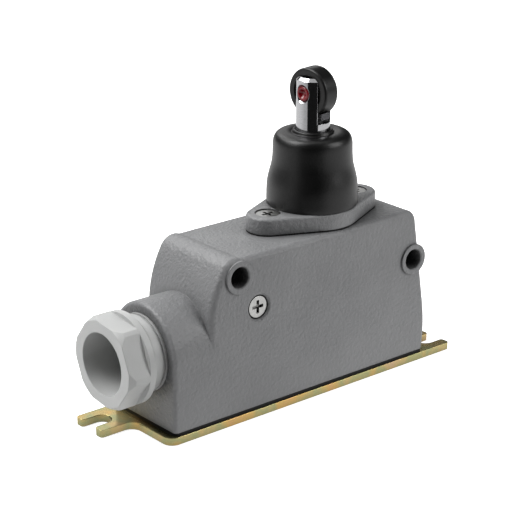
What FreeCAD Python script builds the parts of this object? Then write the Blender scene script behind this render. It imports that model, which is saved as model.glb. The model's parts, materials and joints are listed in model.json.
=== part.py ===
import FreeCAD, Part
import os
import re
import Sketcher
from FreeCAD import Placement, Rotation, Vector

# Roller-plunger limit switch in a cast metal housing.
# Millimetres. Origin: where the plunger's axis meets the underside of the base plate.
# +Z is up along the plunger, -X points out of the cable gland, -Y is the face with the lock screw.

SIZES = {
    # base plate and its two open-ended slots
    "plate_centre": -13.55, "plate_length": 87.5, "plate_width": 26.3, "plate_thick": 2.0,
    "plate_corner": 2.8, "tongue_reach": 9.9, "tongue_inner": 2.0, "tongue_corner": 0.9,
    "tongue_root": 2.8, "slot_width": 5.2, "slot_offset": 7.6, "slot_depth": 6.7,
    "base_screw_reach": 39.15, "base_screw_offset": 8.5, "base_screw_bore": 1.5,
    "base_screw_sink": 1.5, "base_screw_top": 9.0, "base_hole_top": 9.4,
    # gasket under the housing and insulating sheet inside it
    "gasket_thick": 0.9, "gasket_corner": 2.0, "insulator_thick": 0.4, "insulator_gap": 0.3,
    # housing outside
    "housing_left": -44.2, "housing_top": 43.8, "housing_half": 12.8,
    "shoulder_start": 27.0, "shoulder_radius": 29.0, "crown_radius": 4.5,
    "crown_proud": 0.4, "crown_dip": 2.0,
    "right_top": 25.7, "right_corner": 3.5, "right_knee": 30.1, "right_knee_height": 16.5,
    "right_swell": 45.0, "front_round": 1.5, "back_round": 0.7,
    "conduit_face": -55.4, "conduit_height": 20.83, "conduit_root": -41.0,
    "conduit_round": 1.0,
    # housing inside
    "cavity_left": -41.2, "cavity_right": 22.4, "cavity_half": 9.8, "cavity_top": 41.0,
    "cavity_slope_left": -36.4, "cavity_slope_low": 28.0, "cavity_join": 0.5,
    "conduit_bore": 9.35, "conduit_floor": -46.4, "wire_bore": 7.5,
    "side_hole_left": -35.1, "side_hole_left_height": 39.24,
    "side_hole_right": 24.94, "side_hole_right_height": 29.97,
    "side_hole": 2.75, "side_boss": 4.25, "side_boss_proud": 0.5, "side_hole_chamfer": 0.3,
    "lock_x": -28.6, "lock_height": 29.7, "lock_recess": 3.2, "lock_recess_floor": -10.9,
    "lock_recess_bevel": 0.5, "lock_bore": 2.05,
    # plunger head: gasket, flange, guide
    "head_gasket_thick": 0.4, "flange_thick": 4.2, "flange_centre_radius": 12.0,
    "flange_end_radius": 5.6, "flange_round": 0.7, "head_screw_reach": 15.1,
    "head_recess": 3.3, "head_recess_depth": 2.3, "spigot_radius": 7.9, "spigot_drop": 3.0,
    "top_opening": 8.0, "neck_radius": 6.5, "neck_top": 58.5, "guide_bore": 5.5,
    "bush_outer": 5.48, "bush_bore": 4.5, "bush_bottom": 44.65,
    "head_boss": 3.6, "head_boss_bottom": 36.5, "head_hole_bottom": 37.5,
    # rubber boot
    "boot_skirt": 11.85, "boot_skirt_high": 11.75, "boot_skirt_top": 52.6,
    "boot_shoulder": 11.1, "boot_shoulder_height": 56.8, "boot_waist": 10.5,
    "boot_waist_height": 60.4, "boot_bend": 9.0, "boot_neck": 10.35, "boot_neck_top": 64.6,
    "boot_rim": 8.9, "boot_rim_height": 67.1, "boot_rim_bend": 2.2, "boot_crown": 6.3,
    "boot_crown_height": 67.5, "boot_groove": 5.4, "boot_groove_height": 67.2,
    "boot_lip": 5.1, "boot_lip_top": 68.05, "boot_hole": 4.5, "boot_roof": 65.7,
    "boot_wall": 1.7, "boot_foot": 8.0, "boot_foot_thick": 1.0,
    # plunger and its clevis
    "plunger_radius": 4.45, "plunger_bottom": 43.0, "plunger_collar": 5.3,
    "collar_thick": 1.6, "plunger_top": 82.0, "clip_groove": 3.95, "clip_low": 64.4,
    "clip_high": 65.0, "clip_outer": 6.35, "clip_gap": 2.2, "push_bore": 2.5,
    "push_bore_top": 58.0, "slot_half": 2.5, "slot_floor": 70.1, "pin_height": 77.9,
    "pin_bore": 2.02, "pin_sink": 2.5, "pin_sink_depth": 0.5, "ear_chamfer": 0.8,
    "roller_turn": 7.0,
    # roller
    "roller_radius": 6.35, "roller_width": 4.8, "roller_round": 0.6, "roller_bore": 3.12,
    "roller_dish": 4.5, "roller_dish_depth": 0.35, "pin_radius": 2.0, "pin_half": 4.25,
    "pin_dome": 0.3, "pin_end": 1.75, "pin_dimple": 1.3, "pin_dimple_floor": 0.5,
    "pin_dimple_depth": 0.8, "roller_bush_outer": 3.1, "roller_bush_bore": 2.05,
    "roller_bush_half": 2.45,
    # springs and their seats
    "clamp_bore": 6.6, "clamp_outer": 9.9, "clamp_thick": 0.8, "return_mean": 7.2,
    "return_wire": 0.45, "return_turns": 4.5, "seat_bore": 4.5, "seat_outer": 8.0,
    "seat_thick": 0.8, "over_mean": 1.95, "over_wire": 0.3, "over_turns": 6.0,
    # push pin inside the plunger
    "push_radius": 1.6, "push_head": 2.4, "push_head_low": 46.0, "push_head_high": 48.0,
    "push_bottom": 27.05, "retainer_low": 44.4, "retainer_high": 45.9, "retainer_bore": 1.65,
    "retainer_outer": 2.48,
    # basic switch: case, cover and button
    "case_left": -29.3, "case_right": 19.7, "case_half": 8.7, "case_bottom": 8.0,
    "case_split": 19.5, "case_top": 24.5, "case_wall": 2.0, "cover_roof": 2.2,
    "button_radius": 2.2, "button_hole": 2.25, "button_top": 27.0, "button_bottom": 16.05,
    "button_flange": 3.0, "button_flange_low": 20.9, "button_flange_high": 22.2,
    "case_screw_left": -17.3, "case_screw_right": 8.1, "case_screw_height": 11.6,
    "case_boss": 3.3, "case_screw": 1.45, "case_screw_bore": 1.5, "case_screw_head": 2.6,
    "case_sink": 2.7, "case_sink_floor": 6.9, "case_screw_sunk": 0.1,
    # basic switch: blade and contacts
    "blade_left": -24.3, "blade_right": 14.4, "blade_half": 2.25, "blade_low": 15.6,
    "blade_high": 16.0, "blade_pivot": -22.0, "blade_roll": 0.6, "contact_x": 12.6,
    "contact_radius": 1.5, "contact_low": 14.8, "contact_high": 16.8, "fixed_radius": 1.4,
    "lower_fixed_low": 13.0, "lower_fixed_high": 13.95, "upper_fixed_low": 16.85,
    "upper_fixed_high": 17.8, "strip_thick": 0.8, "fit_gap": 0.05,
    # basic switch: terminals
    "common_post_left": -24.5, "common_post_right": -21.0, "common_post_half": 2.5,
    "common_foot_left": -29.2, "common_foot_right": -20.5, "common_screw": -26.6,
    "closed_post_left": -6.0, "closed_post_right": -4.0, "closed_post_near": 4.0,
    "closed_far": 5.5, "closed_arm_near": 3.4, "closed_foot_left": -10.0,
    "closed_foot_right": -3.0, "closed_screw": -6.5, "closed_screw_side": -0.5,
    "closed_hand_left": 9.2, "closed_hand_right": 14.6, "closed_hand_near": -2.0,
    "open_post_left": 11.6, "open_post_right": 13.6, "open_post_half": 2.0,
    "open_foot_left": 10.5, "open_foot_right": 19.0, "open_screw": 16.4, "foot_half": 3.5,
    "terminal_head": 2.8, "terminal_head_low": 4.6, "terminal_screw_top": 9.8,
    # bracket, lock screw, earth screw
    "bracket_front": -9.7, "bracket_back": -8.8, "bracket_left": -29.0,
    "bracket_right": 19.4, "bracket_low": 8.5, "bracket_ear_left": -33.0,
    "bracket_ear_right": -24.0, "bracket_ear_low": 20.5, "bracket_ear_top": 33.5,
    "bracket_bore": 2.0, "lock_head": 2.85, "lock_head_front": -12.2, "lock_shank": 1.95,
    "lock_end": -7.0, "switch_screw_end": -9.6,
    "earth_x": -36.0, "earth_height": 11.0, "earth_boss": 3.5, "earth_boss_face": 5.8,
    "earth_shank": 1.45, "earth_bore": 1.5, "earth_head": 2.8, "earth_head_face": 3.4,
    "earth_washer": 3.4, "earth_washer_face": 5.3, "earth_end": 9.6, "earth_hole_end": 9.7,
    # cable gland
    "gland_front": -67.9, "gland_corner": 12.35, "gland_radius": 12.0, "gland_tilt": -7.0,
    "gland_hex_end": -62.0, "gland_face_radius": 11.1, "gland_front_bevel": 1.6, "gland_flange": 11.9,
    "gland_flange_end": -59.8, "gland_flange_bevel": 0.4, "gland_collar": 9.9,
    "gland_collar_end": -56.5, "gland_groove": 9.5, "gland_bore": 8.05,
    "gland_shank": 9.3, "gland_end": -50.5,
    "washer_thick": 0.5, "washer_outer": 10.05, "washer_bore": 9.35,
    "seal_outer": 9.25, "seal_bore": 7.2, "ring_thick": 0.8, "ring_gap": 0.05,
    # shared screw sizes and the cross recesses in the heads
    "metal_screw": 1.95, "metal_screw_bore": 2.0, "head_screw_head": 3.1,
    "head_screw_sunk": 0.25, "head_screw_head_depth": 2.05, "head_screw_end": 38.0,
    "plate_screw": 1.45, "plate_screw_head": 2.85, "plate_screw_rim": 0.1,
    "cross_long": 1.75, "cross_half": 0.42, "cross_depth": 0.9,
    # how far cutting tools run past the faces that they cut
    "past": 1.0,
}

doc = FreeCAD.newDocument("LimitSwitch")
sheet = doc.addObject("Spreadsheet::Sheet", "size")
for row, (alias, amount) in enumerate(SIZES.items(), start=1):
    sheet.set(f"A{row}", alias)
    sheet.set(f"B{row}", str(amount))
    sheet.setAlias(f"B{row}", alias)
doc.recompute()

# Heights and places that several pieces share, written as formulas of the sheet.
BODY_LOW = "(plate_thick + gasket_thick)"
FLANGE_LOW = "(housing_top + head_gasket_thick)"
FLANGE_HIGH = "(housing_top + head_gasket_thick + flange_thick)"
CLAMP_LOW = f"({FLANGE_HIGH} + boot_foot_thick)"
CLAMP_HIGH = f"({CLAMP_LOW} + clamp_thick)"
SEAT_LOW = "(clip_low - seat_thick)"
SCREW_LEFT = "(plate_centre - base_screw_reach)"
SCREW_RIGHT = "(plate_centre + base_screw_reach)"
WASHER_FACE = "(conduit_face - washer_thick)"
FACE_PROUD = "(housing_half + side_boss_proud)"
FOOT_LOW = "(case_bottom - strip_thick)"
CONTACT = ("contact_x", "0")

# The housing's left shoulder: the height of its crown's centre, and the upward and sideways
# shares of the line from there to the shoulder's centre.
CROWN_HEIGHT = "(housing_top + crown_proud - crown_radius)"
RISE = f"(({CROWN_HEIGHT} - shoulder_start) / (shoulder_radius - crown_radius))"
RUN = f"sqrt(1 - {RISE}^2)"

# The housing's right wall leans in from the knee to the top, and swells out below the knee.
LEAN = "(right_knee - right_top)"
CLIMB = "(housing_top - right_knee_height)"
SLANT = f"sqrt({LEAN}^2 + {CLIMB}^2)"
CORNER_LENGTH = f"(right_corner * ({SLANT} - {LEAN}) / {CLIMB})"
SWELL_DROP = f"({BODY_LOW} - right_knee_height + right_swell * {LEAN} / {SLANT})"
SWELL_REACH = f"(sqrt(right_swell^2 - {SWELL_DROP}^2) - right_swell * {CLIMB} / {SLANT})"
BODY_RIGHT = f"(right_knee + {SWELL_REACH})"

# The three terminals: spans in x and y of the posts through the case floor and of the feet
# under it, and the places of their screws.
POSTS = {
    "common": (("common_post_left", "common_post_right"), ("-common_post_half", "common_post_half")),
    "closed": (("closed_post_left", "closed_post_right"), ("closed_post_near", "closed_far")),
    "open": (("open_post_left", "open_post_right"), ("-open_post_half", "open_post_half")),
}
FEET = {
    "common": (("common_foot_left", "common_foot_right"), ("-foot_half", "foot_half")),
    "closed": (("closed_foot_left", "closed_foot_right"), ("-foot_half", "closed_far")),
    "open": (("open_foot_left", "open_foot_right"), ("-foot_half", "foot_half")),
}
TERMINAL_SCREWS = {
    "common": ("common_screw", "0"),
    "closed": ("closed_screw", "closed_screw_side"),
    "open": ("open_screw", "0"),
}
CASE_SCREWS = [
    ("case_screw_left", "case_screw_height"),
    ("case_screw_right", "case_screw_height"),
]
SIDE_HOLES = [
    ("side_hole_left", "side_hole_left_height"),
    ("side_hole_right", "side_hole_right_height"),
]

AXES = "xyz"
TURN_TO = {
    "x": Rotation(Vector(0, 1, 0), 90),
    "y": Rotation(Vector(1, 0, 0), -90),
    "z": Rotation(),
}
pieces = []


def formula(text):
    """Puts the sheet's name before each alias in a formula."""
    return re.sub(r"[a-z][a-z0-9_]*", lambda word: sheet_cell(word.group()), text)


def sheet_cell(word):
    return f"size.{word}" if word in SIZES else word


def number(text):
    amount = sheet.evalExpression(formula(text))
    return float(getattr(amount, "Value", amount))


def bind(item, prop, text):
    item.setExpression(prop, formula(text))


def piece(item, label):
    """Names a finished sub-part, so that it is checked and written."""
    item.Label = label
    pieces.append(item)
    return item


def place(item, **where):
    """Binds an object's place to formulas, one for each axis given."""
    for axis, text in where.items():
        bind(item, f"Placement.Base.{axis}", text)
    return item


def turned(item):
    """Turns an object about the plunger's axis to where the roller stands at rest."""
    item.Placement = Placement(item.Placement.Base, Rotation(Vector(0, 0, 1), 1))
    item.setExpression("Placement.Rotation.Angle", "size.roller_turn * 1 deg")
    return item


# Part primitives


def box(name, x, y, z):
    item = doc.addObject("Part::Box", name)
    for axis, side, (low, high) in zip(AXES, ("Length", "Width", "Height"), (x, y, z)):
        bind(item, side, f"({high}) - ({low})")
        bind(item, f"Placement.Base.{axis}", low)
    return item


def stand(item, axis, low, centre):
    """Stands a round primitive on a plane across one axis, round a centre in the other two."""
    item.Placement = Placement(Vector(), TURN_TO[axis])
    bind(item, f"Placement.Base.{axis}", low)
    for other, text in zip(AXES.replace(axis, ""), centre):
        bind(item, f"Placement.Base.{other}", text)
    return item


def cylinder(name, axis, radius, span, centre=("0", "0")):
    item = doc.addObject("Part::Cylinder", name)
    bind(item, "Radius", radius)
    bind(item, "Height", f"({span[1]}) - ({span[0]})")
    return stand(item, axis, span[0], centre)


def cone(name, axis, radii, span, centre=("0", "0")):
    item = doc.addObject("Part::Cone", name)
    bind(item, "Radius1", radii[0])
    bind(item, "Radius2", radii[1])
    bind(item, "Height", f"({span[1]}) - ({span[0]})")
    return stand(item, axis, span[0], centre)


def fuse(name, *items):
    item = doc.addObject("Part::MultiFuse", name)
    item.Shapes = list(items)
    item.Refine = True
    return item


def cut(name, base, *tools):
    item = doc.addObject("Part::Cut", name)
    item.Base = base
    item.Tool = tools[0] if len(tools) == 1 else fuse(f"{name}_tools", *tools)
    return item


def ring(name, axis, bore, outer, span, centre=("0", "0")):
    return cut(
        name,
        cylinder(f"{name}_outer", axis, outer, span, centre),
        cylinder(f"{name}_bore", axis, bore, span, centre),
    )


def group(name, items):
    item = doc.addObject("Part::Compound", name)
    item.Links = list(items)
    return item


# Part Design


def new_body(name):
    return doc.addObject("PartDesign::Body", name)


def sketch(body, name, plane, offset="0"):
    item = body.newObject("Sketcher::SketchObject", name)
    planes = [feature for feature in body.Origin.OriginFeatures if feature.Role == plane]
    item.AttachmentSupport = [(planes[0], "")]
    item.MapMode = "FlatFace"
    if offset != "0":
        bind(item, "AttachmentOffset.Base.z", offset)
    return item


def hold(item, geometry, point, texts):
    """Holds a sketch point at two formulas, measured from the sketch's origin."""
    for kind, axis_line, text in zip(("DistanceX", "DistanceY"), (-2, -1), texts):
        amount = number(text)
        if abs(amount) < 1e-9:
            item.addConstraint(Sketcher.Constraint("PointOnObject", geometry, point, axis_line))
            continue
        index = item.addConstraint(Sketcher.Constraint(kind, -1, 1, geometry, point, amount))
        bind(item, f"Constraints[{index}]", text)


def circle(item, radius, centre=("0", "0")):
    middle = Vector(number(centre[0]), number(centre[1]), 0)
    round_edge = Part.Circle(middle, Vector(0, 0, 1), number(radius))
    geometry = item.addGeometry(round_edge, False)
    hold(item, geometry, 3, centre)
    index = item.addConstraint(Sketcher.Constraint("Radius", geometry, number(radius)))
    bind(item, f"Constraints[{index}]", radius)


def arc_between(start, end, radius, side):
    """The short arc from start to end; side 1 has its centre on the left of the way."""
    half = (end - start) * 0.5
    across = Vector(-half.y, half.x, 0).normalize()
    centre = start + half + across * side * max(radius ** 2 - half.Length ** 2, 0) ** 0.5
    middle = centre - across * side * radius
    return Part.Arc(start, middle, end)


def outline(item, points, arcs=None):
    """A closed outline through points. arcs maps a stretch's number to (radius, side)."""
    arcs = arcs or {}
    corners = [Vector(number(x), number(y), 0) for x, y in points]
    count = len(corners)
    ends = []
    for index, start in enumerate(corners):
        end = corners[(index + 1) % count]
        if index in arcs:
            radius, side = arcs[index]
            geometry = item.addGeometry(arc_between(start, end, number(radius), side), False)
            ends.append((1, 2) if side > 0 else (2, 1))
            held = item.addConstraint(Sketcher.Constraint("Radius", geometry, number(radius)))
            bind(item, f"Constraints[{held}]", radius)
        else:
            geometry = item.addGeometry(Part.LineSegment(start, end), False)
            ends.append((1, 2))
    first = geometry - count + 1
    for index in range(count):
        after = (index + 1) % count
        joined = (first + index, ends[index][1], first + after, ends[after][0])
        item.addConstraint(Sketcher.Constraint("Coincident", *joined))
        hold(item, first + index, ends[index][0], points[index])


def rectangle(item, x, y):
    outline(item, [(x[0], y[0]), (x[1], y[0]), (x[1], y[1]), (x[0], y[1])])


def pad(body, profile, length, both_ways=False, backwards=False):
    item = body.newObject("PartDesign::Pad", f"{profile.Name}_pad")
    item.Profile = profile
    bind(item, "Length", length)
    item.Midplane = both_ways
    item.Reversed = backwards
    doc.recompute()
    return item


def pocket(body, profile, length, both_ways=False, backwards=False):
    before = body.Shape.Volume
    item = body.newObject("PartDesign::Pocket", f"{profile.Name}_pocket")
    item.Profile = profile
    bind(item, "Length", length)
    item.Midplane = both_ways
    item.Reversed = backwards
    doc.recompute()
    if body.Shape.Volume > before - 1e-6:
        raise RuntimeError(f"{item.Name} removed nothing")
    return item


def spin(body, profile, axis="V_Axis", kind="Revolution"):
    """Revolves a profile about its sketch's upright (V_Axis) or level (H_Axis) axis."""
    item = body.newObject(f"PartDesign::{kind}", f"{profile.Name}_{kind.lower()}")
    item.Profile = profile
    item.ReferenceAxis = (profile, [axis])
    item.Angle = 360
    doc.recompute()
    return item


def near(amount, text):
    return abs(amount - number(text)) < 0.01


def edge_names(body, chosen):
    edges = enumerate(body.Shape.Edges, start=1)
    return [f"Edge{index}" for index, edge in edges if chosen(edge)]


def dress(body, kind, size, chosen):
    """Adds a fillet or chamfer to the edges that a rule picks."""
    base = body.Tip
    item = body.newObject(f"PartDesign::{kind}", f"{body.Name}_{kind.lower()}")
    item.Base = (base, edge_names(body, chosen))
    bind(item, "Radius" if kind == "Fillet" else "Size", size)
    doc.recompute()
    return item


def upright(edge):
    box_of = edge.BoundBox
    return box_of.ZLength > 0.1 and max(box_of.XLength, box_of.YLength) < 1e-4


def level(edge, height):
    return near(edge.BoundBox.ZMin, height) and near(edge.BoundBox.ZMax, height)


# Base: plate, gasket, insulating sheet and the four screws from beneath


def screw_spots(item, radius):
    """The four base screws' circles, in the housing's own place."""
    for end in (SCREW_LEFT, SCREW_RIGHT):
        for side in ("-base_screw_offset", "base_screw_offset"):
            circle(item, radius, (end, side))


def base_plate():
    body = new_body("base_plate")
    half = "plate_length / 2"
    side = "plate_width / 2"
    tip = f"-{half} - tongue_reach"
    plate = sketch(body, "plate_outline", "XY_Plane")
    rectangle(plate, (f"-{half}", half), (f"-{side}", side))
    pad(body, plate, "plate_thick")
    tongue_outline = sketch(body, "tongue_outline", "XY_Plane")
    rectangle(tongue_outline, (tip, f"-{half} + plate_corner"), ("tongue_inner", side))
    tongue = pad(body, tongue_outline, "plate_thick")
    low, high = "slot_offset - slot_width / 2", "slot_offset + slot_width / 2"
    slot_end = f"{tip} + slot_depth - slot_width / 2"
    slot_outline = sketch(body, "slot_outline", "XY_Plane")
    rectangle(slot_outline, (f"{tip} - past", slot_end), (low, high))
    slot = pocket(body, slot_outline, "plate_thick", backwards=True)
    end_outline = sketch(body, "slot_end_outline", "XY_Plane")
    circle(end_outline, "slot_width / 2", (slot_end, "slot_offset"))
    slot_round = pocket(body, end_outline, "plate_thick", backwards=True)
    both_ends = body.newObject("PartDesign::PolarPattern", "both_ends")
    both_ends.Originals = [tongue, slot, slot_round]
    both_ends.Axis = (tongue_outline, ["N_Axis"])
    both_ends.Angle = 360
    both_ends.Occurrences = 2
    body.Tip = both_ends
    doc.recompute()
    end = number(half)
    reach = end + number("tongue_reach")
    inner = number("tongue_inner")

    def corner(edge, x, above):
        spot = edge.BoundBox
        return upright(edge) and abs(abs(spot.XMin) - x) < 0.01 and abs(spot.YMin) > above

    dress(body, "Fillet", "plate_corner", lambda edge: corner(edge, end, number(side) - 0.01))
    dress(body, "Fillet", "tongue_root", lambda edge: corner(edge, end, inner - 0.01))
    dress(body, "Fillet", "tongue_corner", lambda edge: corner(edge, reach, 0))
    holes = sketch(body, "screw_holes", "XY_Plane")
    for across in ("-base_screw_reach", "base_screw_reach"):
        for away in ("-base_screw_offset", "base_screw_offset"):
            circle(holes, "base_screw_bore", (across, away))
    pocket(body, holes, "plate_thick", backwards=True)
    bore = number("base_screw_bore")

    def mouth(edge):
        return level(edge, "0") and getattr(edge.Curve, "Radius", 0) == bore

    dress(body, "Chamfer", "base_screw_sink", mouth)
    place(body, x="plate_centre")
    return piece(body, "base_plate")


def base_gasket():
    body = new_body("base_gasket")
    ring_outline = sketch(body, "gasket_outline", "XY_Plane", "plate_thick")
    sides = ("-housing_half", "housing_half")
    rectangle(ring_outline, ("conduit_face", BODY_RIGHT), sides)
    pad(body, ring_outline, "gasket_thick")
    dress(body, "Fillet", "gasket_corner", upright)
    opening = sketch(body, "gasket_opening", "XY_Plane", "plate_thick")
    rectangle(opening, ("cavity_left", "cavity_right"), ("-cavity_half", "cavity_half"))
    screw_spots(opening, "base_screw_bore")
    pocket(body, opening, "gasket_thick", backwards=True)
    return piece(body, "base_gasket")


def insulator_sheet():
    x = ("cavity_left + insulator_gap", "cavity_right - insulator_gap")
    y = ("-cavity_half + insulator_gap", "cavity_half - insulator_gap")
    item = box("insulator_sheet", x, y, ("plate_thick", "plate_thick + insulator_thick"))
    return piece(item, "insulator_sheet")


def cross_recess(name, axis, face, inward, centre):
    """Two crossed bars for a screw head; inward is 1 or -1, the way they go into the head."""
    span = (f"{face} - past", f"{face} + cross_depth")
    if inward < 0:
        span = (f"{face} - cross_depth", f"{face} + past")
    bars = []
    for count, sizes in enumerate((("cross_long", "cross_half"), ("cross_half", "cross_long"))):
        sides = [(f"{at} - {size}", f"{at} + {size}") for at, size in zip(centre, sizes)]
        sides.insert(AXES.index(axis), span)
        bars.append(box(f"{name}_bar{count}", *sides))
    return bars


def base_screws():
    screws = []
    for count, end in enumerate((SCREW_LEFT, SCREW_RIGHT)):
        for other, side in enumerate(("-base_screw_offset", "base_screw_offset")):
            name = f"base_screw_{count}{other}"
            at = (end, side)
            head = ("plate_screw_rim", "base_screw_sink")
            blank = fuse(
                f"{name}_blank",
                cone(f"{name}_head", "z", ("plate_screw_head", "plate_screw"), head, at),
                cylinder(f"{name}_shank", "z", "plate_screw", (head[1], "base_screw_top"), at),
            )
            screws.append(cut(name, blank, *cross_recess(name, "z", head[0], 1, at)))
    return piece(group("base_screws", screws), "base_screws")


# Housing


def housing():
    body = new_body("housing")
    junction = (
        f"housing_left + shoulder_radius * (1 - {RUN})",
        f"shoulder_start + shoulder_radius * {RISE}",
    )
    crown_middle = f"({junction[0]} + crown_radius * {RUN})"
    reach = "(crown_radius + crown_dip)"
    fall = f"sqrt({reach}^2 - ({reach} - crown_proud)^2)"
    dip_start = (
        f"{crown_middle} + {fall} * crown_radius / {reach}",
        f"{CROWN_HEIGHT} + ({reach} - crown_proud) * crown_radius / {reach}",
    )
    corner_low = (
        f"right_top + {CORNER_LENGTH} * {LEAN} / {SLANT}",
        f"housing_top - {CORNER_LENGTH} * {CLIMB} / {SLANT}",
    )
    profile = sketch(body, "body_profile", "XZ_Plane")
    outline(
        profile,
        [
            ("housing_left", BODY_LOW),
            (BODY_RIGHT, BODY_LOW),
            ("right_knee", "right_knee_height"),
            corner_low,
            (f"right_top - {CORNER_LENGTH}", "housing_top"),
            (f"{crown_middle} + {fall}", "housing_top"),
            dip_start,
            junction,
            ("housing_left", "shoulder_start"),
        ],
        {
            1: ("right_swell", 1),
            3: ("right_corner", 1),
            5: ("crown_dip", -1),
            6: ("crown_radius", 1),
            7: ("shoulder_radius", 1),
        },
    )
    pad(body, profile, "2 * housing_half", both_ways=True)

    def outside(edge, face):
        spot = edge.BoundBox
        on_face = near(spot.YMin, face) and near(spot.YMax, face)
        return on_face and not level(edge, BODY_LOW)

    dress(body, "Fillet", "front_round", lambda edge: outside(edge, "-housing_half"))
    dress(body, "Fillet", "back_round", lambda edge: outside(edge, "housing_half"))
    conduit = sketch(body, "conduit_outline", "YZ_Plane", "conduit_face")
    outline(
        conduit,
        [
            ("-housing_half", BODY_LOW),
            ("housing_half", BODY_LOW),
            ("housing_half", "conduit_height"),
            ("0", "conduit_height + housing_half"),
            ("-housing_half", "conduit_height"),
        ],
        {2: ("housing_half", 1), 3: ("housing_half", 1)},
    )
    pad(body, conduit, "conduit_root - conduit_face")

    def rim(edge):
        spot = edge.BoundBox
        at_face = near(spot.XMin, "conduit_face") and near(spot.XMax, "conduit_face")
        return at_face and not level(edge, BODY_LOW)

    dress(body, "Fillet", "conduit_round", rim)
    cavity = sketch(body, "cavity_outline", "XZ_Plane")
    outline(
        cavity,
        [
            ("cavity_left", BODY_LOW),
            ("cavity_right", BODY_LOW),
            ("cavity_right", "cavity_top"),
            ("cavity_slope_left", "cavity_top"),
            ("cavity_left", "cavity_slope_low"),
        ],
    )
    pocket(body, cavity, "2 * cavity_half", both_ways=True)
    bosses = sketch(body, "side_bosses", "XZ_Plane")
    for centre in SIDE_HOLES:
        circle(bosses, "side_boss", centre)
    pad(body, bosses, f"2 * {FACE_PROUD}", both_ways=True)
    head_bosses = sketch(body, "head_bosses", "XY_Plane", "head_boss_bottom")
    head_circles(head_bosses, "head_boss")
    pad(body, head_bosses, "cavity_top - head_boss_bottom + cavity_join")
    earth = sketch(body, "earth_boss_outline", "XZ_Plane", "-earth_boss_face")
    circle(earth, "earth_boss", ("earth_x", "earth_height"))
    pad(body, earth, "cavity_half - earth_boss_face + cavity_join", backwards=True)
    side_holes = sketch(body, "side_holes", "XZ_Plane")
    for centre in SIDE_HOLES:
        circle(side_holes, "side_hole", centre)
    pocket(body, side_holes, f"2 * ({FACE_PROUD} + past)", both_ways=True)
    opening = sketch(body, "top_opening_outline", "XY_Plane", "cavity_top - past")
    circle(opening, "top_opening")
    pocket(body, opening, "housing_top - cavity_top + 2 * past", backwards=True)
    head_holes = sketch(body, "head_screw_holes", "XY_Plane", "head_hole_bottom")
    head_circles(head_holes, "metal_screw_bore")
    pocket(body, head_holes, "housing_top - head_hole_bottom", backwards=True)
    bore = sketch(body, "conduit_bore_outline", "YZ_Plane", "conduit_face")
    circle(bore, "conduit_bore", ("0", "conduit_height"))
    pocket(body, bore, "conduit_floor - conduit_face", backwards=True)
    wires = sketch(body, "wire_bore_outline", "YZ_Plane", "conduit_floor")
    circle(wires, "wire_bore", ("0", "conduit_height"))
    pocket(body, wires, "cavity_left - conduit_floor + past", backwards=True)
    recess = sketch(body, "lock_recess_outline", "XZ_Plane", "housing_half")
    circle(recess, "lock_recess", ("lock_x", "lock_height"))
    pocket(body, recess, "housing_half + lock_recess_floor")
    lock = sketch(body, "lock_hole", "XZ_Plane", "housing_half")
    circle(lock, "lock_bore", ("lock_x", "lock_height"))
    pocket(body, lock, "housing_half - cavity_half + past")
    earth_hole = sketch(body, "earth_hole", "XZ_Plane", "-earth_boss_face")
    circle(earth_hole, "earth_bore", ("earth_x", "earth_height"))
    pocket(body, earth_hole, "earth_hole_end - earth_boss_face")
    plate_holes = sketch(body, "plate_screw_holes", "XY_Plane", BODY_LOW)
    screw_spots(plate_holes, "base_screw_bore")
    pocket(body, plate_holes, f"base_hole_top - {BODY_LOW}", backwards=True)

    def hole_mouth(edge):
        spot = edge.BoundBox
        flat = spot.YLength < 1e-4 and near(abs(spot.YMin), FACE_PROUD)
        return flat and near(getattr(edge.Curve, "Radius", 0), "side_hole")

    def recess_mouth(edge):
        spot = edge.BoundBox
        on_face = near(spot.YMin, "-housing_half") and near(spot.YMax, "-housing_half")
        return on_face and near(getattr(edge.Curve, "Radius", 0), "lock_recess")

    dress(body, "Chamfer", "side_hole_chamfer", hole_mouth)
    dress(body, "Chamfer", "lock_recess_bevel", recess_mouth)
    return piece(body, "housing")


# Plunger head: gasket, flange, screws, guide bush


def diamond(item):
    """A flange outline: a large circle and two small ones, joined by tangents."""
    slope = "((flange_centre_radius - flange_end_radius) / head_screw_reach)"
    height = f"sqrt(1 - {slope}^2)"
    far = f"(head_screw_reach + flange_end_radius * {slope})"
    end_side = f"flange_end_radius * {height}"
    near_x = f"flange_centre_radius * {slope}"
    middle_side = f"flange_centre_radius * {height}"
    outline(
        item,
        [
            (far, f"-{end_side}"),
            (far, end_side),
            (near_x, middle_side),
            (f"-{near_x}", middle_side),
            (f"-{far}", end_side),
            (f"-{far}", f"-{end_side}"),
            (f"-{near_x}", f"-{middle_side}"),
            (near_x, f"-{middle_side}"),
        ],
        {
            0: ("flange_end_radius", 1),
            2: ("flange_centre_radius", 1),
            4: ("flange_end_radius", 1),
            6: ("flange_centre_radius", 1),
        },
    )


def head_circles(item, radius):
    circle(item, radius, ("-head_screw_reach", "0"))
    circle(item, radius, ("head_screw_reach", "0"))


def head_gasket():
    body = new_body("head_gasket")
    shape = sketch(body, "head_gasket_outline", "XY_Plane", "housing_top")
    diamond(shape)
    pad(body, shape, "head_gasket_thick")
    holes = sketch(body, "head_gasket_holes", "XY_Plane", "housing_top")
    circle(holes, "top_opening")
    head_circles(holes, "metal_screw_bore")
    pocket(body, holes, "head_gasket_thick", backwards=True)
    return piece(body, "head_gasket")


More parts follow.
